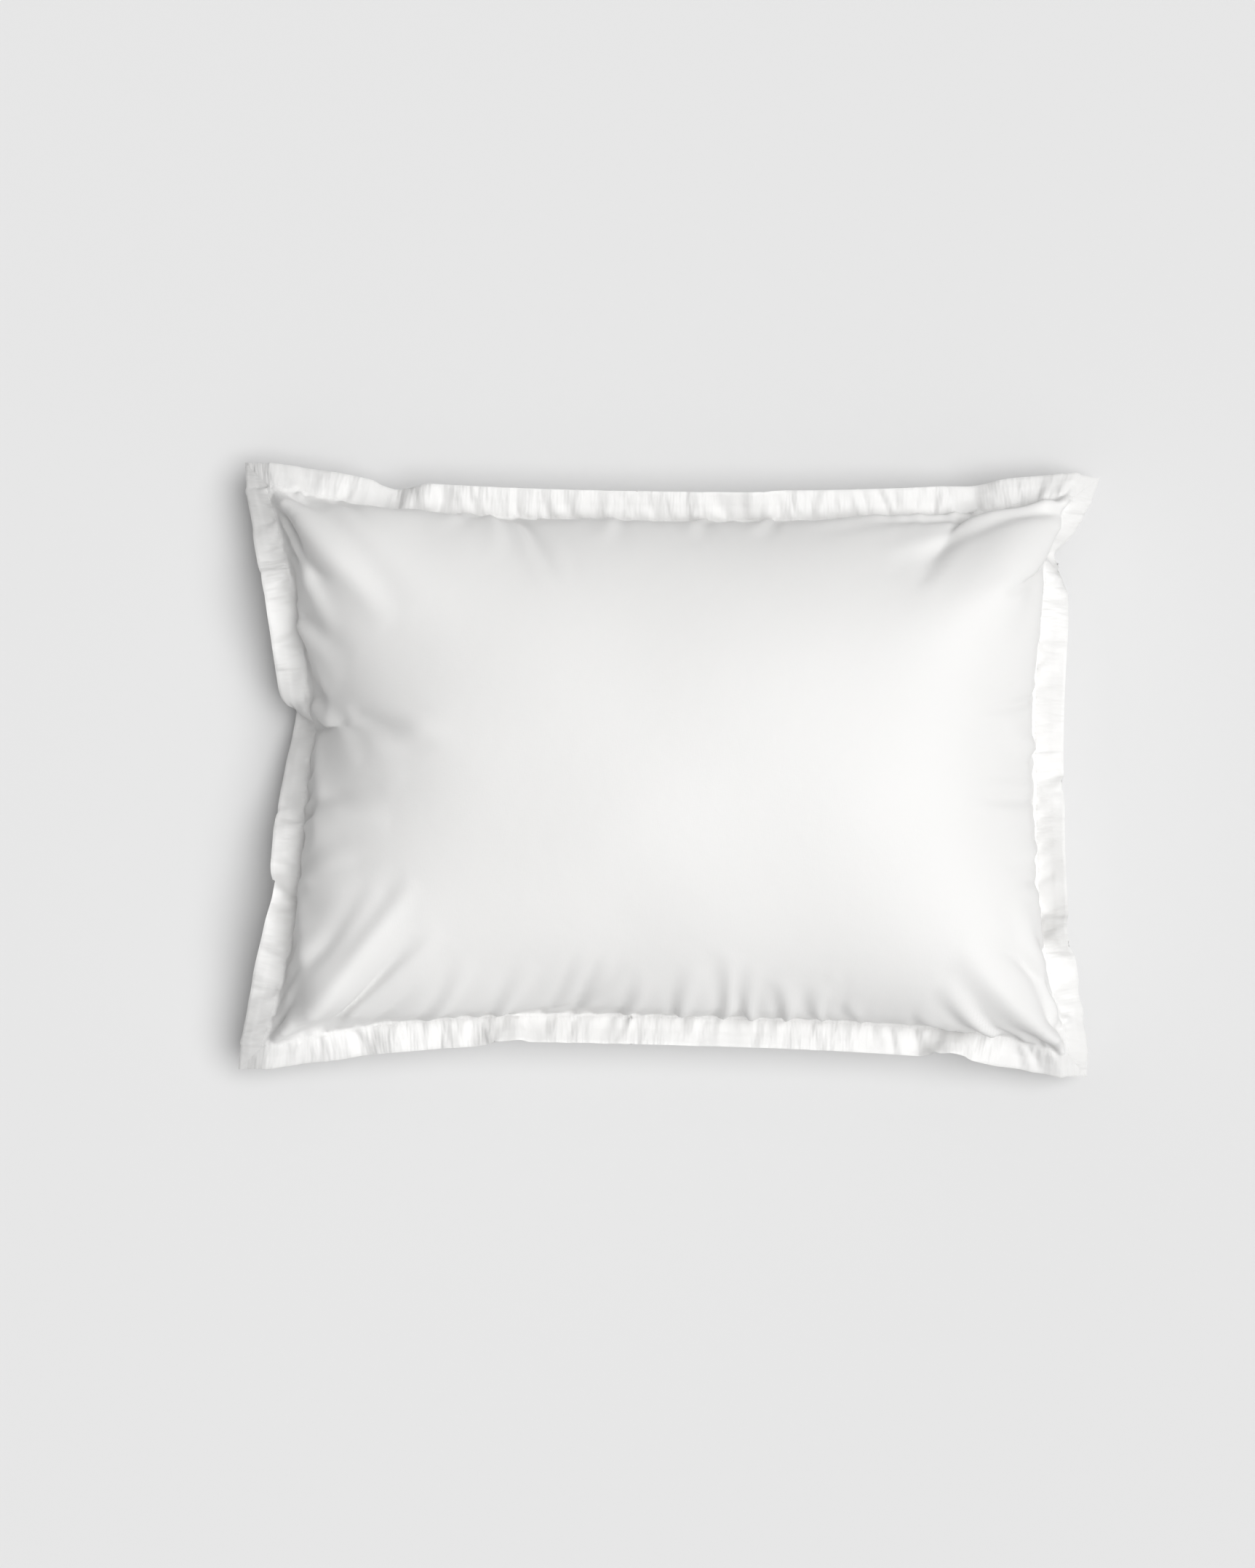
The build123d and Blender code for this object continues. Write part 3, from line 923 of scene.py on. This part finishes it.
def at_lines(grid, lines_u, lines_v):
    """A grid of points read off another between its lines."""
    for axis, lines in ((0, lines_u), (1, lines_v)):
        low = np.minimum(lines.astype(int), grid.shape[axis] - 2)
        part = (lines - low).reshape([-1 if k == axis else 1 for k in range(3)])
        grid = np.take(grid, low, axis) * (1 - part) + np.take(grid, low + 1, axis) * part
    return grid


pocket = surface[:, rim : nu - rim, rim : nv - rim]
front_faces = quads_of(*pocket.shape[1:3])
back_faces = quads_of(*pocket.shape[1:3], True) + pocket[FRONT, ..., 0].size
wall_faces = np.concatenate([front_faces, back_faces])
walls = BVHTree.FromPolygons(pocket.reshape(-1, 3).tolist(), wall_faces.tolist())


def with_room(points, room):
    """Points brought in from the nearest wall of the case until they are clear of it."""
    moved = points.copy()
    for place in np.ndindex(points.shape[:2]):
        nearest, facing, _, _ = walls.find_nearest(Vector(points[place]))
        height = (Vector(points[place]) - nearest).dot(facing)
        if height > -room:
            moved[place] -= np.array(facing) * (height + room)
    return moved


def inside_case(side):
    """The insert's outline under one side of the case, smoother than the case and clear of it."""
    points = at_lines(surface[side], lines_u, lines_v)
    for _ in range(ROOM_PASSES):
        points = evened(with_room(points, INSERT_ROOM), 1)
    return with_room(points, INSERT_ROOM)


lines_u, lines_v = insert_lines(nu), insert_lines(nv)
case_top, case_base = inside_case(FRONT), inside_case(BACK)
middle = evened((case_top + case_base) / 2, SMOOTHING)
insert_flat = at_lines(flat, lines_u, lines_v)
in_u = np.minimum(lines_u - first, nu - 1 - first - lines_u)[:, None] * cell
in_v = np.minimum(lines_v - first, nv - 1 - first - lines_v)[None, :] * cell
to_edge = np.minimum(in_u, in_v)
rounded = np.sqrt(1 - (1 - np.clip(to_edge / INSERT_EDGE_ROUND, 0, 1)) ** 2)[..., None]
tapered = np.clip(to_edge / DIVIDER_TAPER, 0, 1)[..., None]
tapered = tapered * (2 - tapered)


def level(side, share, spread):
    """A surface inside the insert: a share of the way from its middle to the case's front or back."""
    case = case_top if side == FRONT else case_base
    return middle + (case - middle) * share * spread


middle = with_room(with_room(middle, INSERT_ROOM), INSERT_ROOM)
ticking = [with_room(level(side, TICKING_SHARE, rounded), TICKING_ROOM) for side in (FRONT, BACK)]
fill_outer = [middle + (side - middle) * FILL_SHARE for side in ticking]
dividers = [evened(level(side, DIVIDER_SHARES[side], tapered), SMOOTHING) for side in (FRONT, BACK)]
insert_size = tuple(np.ptp(insert_flat, axis=(0, 1)))
INSERT_SHEETS = (
    ("ticking_top_cloth", ticking, FRONT, "ticking_cotton", "ticking_top_panel"),
    ("ticking_bottom_cloth", ticking, BACK, "ticking_cotton", "ticking_bottom_panel"),
    ("divider_upper_cloth", dividers, FRONT, "divider_cotton", "chamber_divider_upper"),
    ("divider_lower_cloth", dividers, BACK, "divider_cotton", "chamber_divider_lower"),
)
for name, grids, side, slot, cad_node in INSERT_SHEETS:
    piece = sheet_piece(name, grids[side], insert_flat, slot, [cad_node], side == BACK)


def slab(high, low):
    """What lies between two grids, as the points and faces of one closed piece."""
    size = high.shape[:2]
    count = size[0] * size[1]
    edge = loop_at(np.arange(count).reshape(size), 0)
    after = np.roll(edge, -1)
    wall = np.stack([edge + count, after + count, after, edge], -1)
    faces = np.concatenate([quads_of(*size), quads_of(*size, True) + count, wall])
    return np.concatenate([high.reshape(-1, 3), low.reshape(-1, 3)]), faces


FILLINGS = (
    ("down_upper", fill_outer[FRONT], dividers[FRONT], "down", "down_layer_upper", 0.8),
    ("feather_middle", dividers[FRONT], dividers[BACK], "feather", "feather_core", 0.9),
    ("down_lower", dividers[BACK], fill_outer[BACK], "down", "down_layer_lower", 0.8),
)
inner = slice(FILL_LINES_IN, -FILL_LINES_IN)
for name, top, base, slot, cad_node, fill in FILLINGS:
    depth = (top - base)[inner, inner]
    low, high = base[inner, inner] + depth * FILL_GAP, base[inner, inner] + depth * (1 - FILL_GAP)
    piece = add_piece(name, *slab(high, low), slot, [cad_node])


def tube(line, radius, sides):
    """A closed round tube along a closed line."""
    ahead = unit(np.roll(line, -1, 0) - np.roll(line, 1, 0))
    out = unit(np.cross(ahead, [0, 0, 1.0]))
    up = np.cross(out, ahead)
    turn = np.arange(sides) * 2 * np.pi / sides
    ring = out[:, None] * np.cos(turn)[:, None] + up[:, None] * np.sin(turn)[:, None]
    points = line[:, None] + ring * radius
    index = np.arange(len(line) * sides).reshape(len(line), sides)
    onward = np.roll(index, -1, 0)
    faces = np.stack([index, onward, np.roll(onward, -1, 1), np.roll(index, -1, 1)], -1)
    return points.reshape(-1, 3), faces.reshape(-1, 4)


seam_line = loop_at(middle, 0)
seam_line = np.concatenate([seam_line, seam_line[:1]])
outward = seam_line - middle.reshape(-1, 3).mean(0)
outward[:, 2] = 0
outward = unit(outward)
steps_round = np.linspace(0, length_of(seam_line), PIPING_RINGS, endpoint=False)
piping = tube(along(seam_line + outward * PIPING_RADIUS, steps_round), PIPING_RADIUS, PIPING_SIDES)
add_piece("insert_piping", *piping, "piping_cotton", ["ticking_piping"])
edge_up = np.repeat([[0, 0, 1.0]], len(seam_line), 0)
edge_stitches = stitches(seam_line - outward * STITCH_INSET, edge_up)
add_piece("insert_edge_stitches", *edge_stitches, "insert_thread", ["ticking_edge_stitch"])

# --- Labels, blank --------------------------------------------------------------------------

LABEL_POINTS = (18, 12)


def label_piece(name, cad_node, grid, side):
    """A blank label lying on a grid surface where its CAD node is, facing up or down."""
    low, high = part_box(cad_node)
    x = np.linspace(low[0], high[0], LABEL_POINTS[0])
    y = np.linspace(low[1], high[1], LABEL_POINTS[1])
    mid_row, mid_column = grid.shape[1] // 2, grid.shape[0] // 2
    lines_x = np.interp(x, grid[:, mid_row, 0], np.arange(grid.shape[0]))
    lines_y = np.interp(y, grid[mid_column, :, 1], np.arange(grid.shape[1]))
    ply = at_lines(grid, lines_x, lines_y)
    up = unit(np.cross(np.gradient(ply, axis=0), np.gradient(ply, axis=1)))
    points, faces = slab(ply + up * side * 2 * LABEL_PLY, ply + up * side * LABEL_PLY)
    add_piece(name, points, faces[:, ::side], "label_tape", [cad_node])


label_piece("care_label_blank", "care_label", underlap_surface, -1)
label_piece("insert_label_blank", "insert_label", ticking[FRONT], 1)

# --- Materials ------------------------------------------------------------------------------
# A noise is given as its scale and detail, and a bump as its strength and its distance in metres.

SHEEN_ROUGHNESS = 0.4
EVENLY = (1, 1, 1)
# How much longer than it is wide a yarn's slub is.
SLUB_LENGTH = 12
YARN_BUMP = (0.35, 0.00012)
YARN_ROUGHNESS = 0.12
# How much darker the cloth is painted where the yarns' bump is low: painted shade between the yarns.
YARN_PAINTED_SHADE = 0.2
CREASE_NOISE = (45.0, 4.0)
CREASE_BUMP = (0.25, 0.0012)
BLOTCH_NOISE = (9.0, 3.0)
BLOTCH_SHADE = 0.6
RIDGE_ALONG, RIDGE_ACROSS = 110.0, 24.0
RIDGE_PATCHES = (24.0, 1.0)
PATCH_GAIN, PATCH_FLOOR = 3.0, 0.9
RIDGE_FADE = 0.010
RIDGE_BUMP = (1.0, 0.0030)
LOOSE_ROUGHNESS, LOOSE_SHEEN = 0.9, 0.4
TUFT_BUMP = (1.0, 0.004)
STRAND_BUMP = (0.6, 0.0008)
STRANDS_TO_A_TUFT = 9
SPUN_ROUGHNESS = 0.55
PLY_BUMP = 0.4
PLY_WOBBLE = 1.5
# How much darker the ply's grooves are painted: painted shade.
PLY_PAINTED_SHADE = 0.92
# This turns a ply's pitch in metres into a wave texture's scale.
WAVE_FACTOR = 20


def new_material(name, color, roughness, sheen=0.0, specular=0.5):
    """A material with its node tree and its shader."""
    material = bpy.data.materials.new(name)
    material.use_nodes = True
    shader = material.node_tree.nodes["Principled BSDF"]
    shader.inputs["Base Color"].default_value = (*color, 1)
    shader.inputs["Roughness"].default_value = roughness
    shader.inputs["Sheen Weight"].default_value = sheen
    shader.inputs["Sheen Roughness"].default_value = SHEEN_ROUGHNESS
    shader.inputs["Specular IOR Level"].default_value = specular
    return material, material.node_tree, shader


def node(tree, kind, inputs, **settings):
    """A shader node's outputs. Each of its inputs is linked to a socket or set to a value."""
    made = tree.nodes.new("ShaderNode" + kind)
    for key, value in settings.items():
        setattr(made, key, value)
    for key, value in inputs.items():
        if isinstance(value, bpy.types.NodeSocket):
            tree.links.new(value, made.inputs[key])
        else:
            made.inputs[key].default_value = value
    return made.outputs


def math(tree, operation, a, b):
    """A sum on sockets or plain numbers."""
    return node(tree, "Math", {0: a, 1: b}, operation=operation)[0]


def scaled_noise(tree, source, scale, noise_scale, detail=2.0):
    """Noise on coordinates stretched by scale, so that it can run along the threads."""
    place = node(tree, "Mapping", {"Vector": source, "Scale": scale})[0]
    inputs = {"Vector": place, "Scale": noise_scale, "Detail": detail}
    return node(tree, "TexNoise", inputs)["Fac"]


def bump(tree, height, strength, distance, normal=None):
    """A bump on top of another normal, if there is one."""
    inputs = {"Height": height, "Strength": strength, "Distance": distance}
    if normal is not None:
        inputs["Normal"] = normal
    return node(tree, "Bump", inputs)["Normal"]


def tinted(tree, shader, fac, low, high):
    """Colour that runs a little from one tint to another with fac."""
    inputs = {"Factor": fac, "A": (*low, 1), "B": (*high, 1)}
    mix = node(tree, "Mix", inputs, data_type="RGBA")
    tree.links.new(mix["Result"], shader.inputs["Base Color"])


def woven(name, low, high, roughness, sheen, thread_count, puckered=False):
    """Cotton cloth: yarns both ways, slubs along them, fine creasing, and painted shade between the
    yarns, on its flat cut.
    """
    material, tree, shader = new_material(name, high, roughness, sheen)
    place, calc = node(tree, "UVMap", {}, uv_map="flat")[0], partial(math, tree)
    slub_count = thread_count / SLUB_LENGTH
    warp = scaled_noise(tree, place, (thread_count, slub_count, 1), 1.0, 1.0)
    weft = scaled_noise(tree, place, (slub_count, thread_count, 1), 1.0, 1.0)
    yarns = calc("ADD", warp, weft)
    normal = bump(tree, yarns, *YARN_BUMP)
    normal = bump(tree, scaled_noise(tree, place, EVENLY, *CREASE_NOISE), *CREASE_BUMP, normal)
    if puckered:
        normal = bump(tree, seam_ridges(tree, place), *RIDGE_BUMP, normal)
    tree.links.new(normal, shader.inputs["Normal"])
    blotch = calc("MULTIPLY", scaled_noise(tree, place, EVENLY, *BLOTCH_NOISE), BLOTCH_SHADE)
    # Random blotches of tone, and painted shade: the tint is lighter where the yarns' bump is raised.
    tinted(tree, shader, calc("ADD", blotch, calc("MULTIPLY", yarns, YARN_PAINTED_SHADE)), low, high)
    uneven = calc("MULTIPLY", yarns, YARN_ROUGHNESS)
    tree.links.new(calc("ADD", uneven, roughness - YARN_ROUGHNESS), shader.inputs["Roughness"])
    return material


def seam_ridges(tree, place):
    """Patches of fine ridges across the flange, dying away inside the topstitched line."""
    calc, split = partial(math, tree), node(tree, "SeparateXYZ", {0: place})
    away_u = calc("SUBTRACT", float(seam_u), calc("ABSOLUTE", split["X"], 0))
    away_v = calc("SUBTRACT", float(seam_v), calc("ABSOLUTE", split["Y"], 0))
    away = calc("MAXIMUM", calc("MINIMUM", away_u, away_v), 0)
    near = calc("SUBTRACT", 1.0, calc("MINIMUM", calc("DIVIDE", away, RIDGE_FADE), 1.0))
    at_end = calc("LESS_THAN", away_u, away_v)
    across_v = scaled_noise(tree, place, (RIDGE_ALONG, RIDGE_ACROSS, 1), 1.0)
    across_u = scaled_noise(tree, place, (RIDGE_ACROSS, RIDGE_ALONG, 1), 1.0)
    on_end = calc("MULTIPLY", across_u, at_end)
    on_side = calc("MULTIPLY", across_v, calc("SUBTRACT", 1.0, at_end))
    patches = calc("MULTIPLY", scaled_noise(tree, place, EVENLY, *RIDGE_PATCHES), PATCH_GAIN)
    patches = calc("MAXIMUM", calc("SUBTRACT", patches, PATCH_FLOOR), 0)
    return calc("MULTIPLY", calc("MULTIPLY", calc("ADD", on_end, on_side), near), patches)


def loose(name, low, high, size):
    """Down or feather: soft tufts with fine strands over them, and painted shade between the tufts."""
    material, tree, shader = new_material(name, high, LOOSE_ROUGHNESS, LOOSE_SHEEN)
    place = node(tree, "TexCoord", {})["Object"]
    tufts = scaled_noise(tree, place, EVENLY, size, 5.0)
    strands = scaled_noise(tree, place, (1, 3, 1), size * STRANDS_TO_A_TUFT, 3.0)
    normal = bump(tree, strands, *STRAND_BUMP, bump(tree, tufts, *TUFT_BUMP))
    tree.links.new(normal, shader.inputs["Normal"])
    # Painted shade: the tint follows the tufts' bump, darker between them.
    tinted(tree, shader, tufts, low, high)
    return material


def spun(name, color, ply_pitch, sheen):
    """Twisted thread or cord: a fine diagonal ply, with painted shade in its grooves."""
    material, tree, shader = new_material(name, color, SPUN_ROUGHNESS, sheen)
    place = node(tree, "TexCoord", {})["Object"]
    scale = 1 / ply_pitch / WAVE_FACTOR
    inputs = {"Vector": place, "Scale": scale, "Distortion": PLY_WOBBLE}
    wave = node(tree, "TexWave", inputs, bands_direction="DIAGONAL")["Fac"]
    tree.links.new(bump(tree, wave, PLY_BUMP, ply_pitch / 4), shader.inputs["Normal"])
    # Painted shade: the tint follows the ply's bump, darker in its grooves.
    tinted(tree, shader, wave, [c * PLY_PAINTED_SHADE for c in color], color)
    return material


# Each woven cloth runs between its darker and lighter tint with random blotches and with painted shade
# between its yarns.
SATEEN = (0.765, 0.761, 0.752), (0.80, 0.796, 0.788)
TICKING = (0.80, 0.79, 0.765), (0.86, 0.85, 0.83)
DIVIDER = (0.79, 0.78, 0.75), (0.85, 0.84, 0.81)
MATERIALS = {
    "case_sateen": woven("cotton_sateen", *SATEEN, 0.52, 0.08, 2600, puckered=True),
    "ticking_cotton": woven("downproof_cotton", *TICKING, 0.62, 0.1, 3200),
    "divider_cotton": woven("plain_cotton", *DIVIDER, 0.75, 0.1, 1800),
    "case_thread": spun("case_thread", (0.80, 0.797, 0.79), 0.0004, 0.1),
    "insert_thread": spun("insert_thread", (0.88, 0.88, 0.86), 0.0004, 0.2),
    "piping_cotton": spun("piping_cotton", (0.84, 0.83, 0.80), 0.0016, 0.1),
    "label_tape": spun("label_tape", (0.93, 0.93, 0.92), 0.0006, 0.1),
    # Down and feather run to their darker tint with painted shade between the tufts.
    "down": loose("down", (0.84, 0.83, 0.80), (0.94, 0.93, 0.91), 90.0),
    "feather": loose("feather", (0.76, 0.73, 0.67), (0.90, 0.88, 0.83), 60.0),
}
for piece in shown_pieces():
    piece.data.materials.clear()
    piece.data.materials.append(MATERIALS[piece["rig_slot"]])

# --- Floor and light ------------------------------------------------------------------------

FLOOR_SIZE = 120.0
FLOOR_COLOR = (0.72, 0.72, 0.72)
FLOOR_ROUGHNESS, FLOOR_SPECULAR = 0.95, 0.1
FLOOR_GRAIN = 400.0
GRAIN_SHADE = 0.995
WORLD_LIGHT = 0.05
# Each light's name, the direction that it comes from, its strength, and its spread in degrees.
LIGHTS = (
    ("key", (0.43, 0.0, 1.0), 2.70, 50),
    ("low", (0.30, -1.0, 1.0), 0.70, 80),
    ("back", (-0.1, 0.9, 1.0), 0.48, 80),
)
LIGHT_DISTANCE = 3

floor_mesh = bpy.data.meshes.new("floor")
half = FLOOR_SIZE / 2
corners = [(-half, -half, 0), (half, -half, 0), (half, half, 0), (-half, half, 0)]
floor_mesh.from_pydata(corners, [], [(0, 1, 2, 3)])
floor = new_object("floor", floor_mesh)
floor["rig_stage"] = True
paper, paper_tree, paper_shader = new_material(
    "backdrop_paper", FLOOR_COLOR, FLOOR_ROUGHNESS, specular=FLOOR_SPECULAR
)
grain = scaled_noise(paper_tree, node(paper_tree, "TexCoord", {})["Object"], EVENLY, FLOOR_GRAIN)
tinted(paper_tree, paper_shader, grain, [c * GRAIN_SHADE for c in FLOOR_COLOR], FLOOR_COLOR)
floor_mesh.materials.append(paper)

world = bpy.data.worlds.new("studio")
world.use_nodes = True
world.node_tree.nodes["Background"].inputs["Color"].default_value = (1, 1, 1, 1)
world.node_tree.nodes["Background"].inputs["Strength"].default_value = WORLD_LIGHT
bpy.context.scene.world = world


def distant_light(name, toward, strength, spread):
    """An even light from far off, along a direction, as soft as its spread in degrees is wide."""
    data = bpy.data.lights.new(name, "SUN")
    data.energy = strength
    data.angle = np.radians(spread)
    light = new_object(name, data)
    light.rotation_euler = Vector(toward).to_track_quat("Z", "Y").to_euler()
    light.location = Vector(toward) * LIGHT_DISTANCE


for light_settings in LIGHTS:
    distant_light(*light_settings)

boxes = {"cad": cad_box, "visual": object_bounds()}
{name: [list(map(float, corner)) for corner in box] for name, box in boxes.items()}
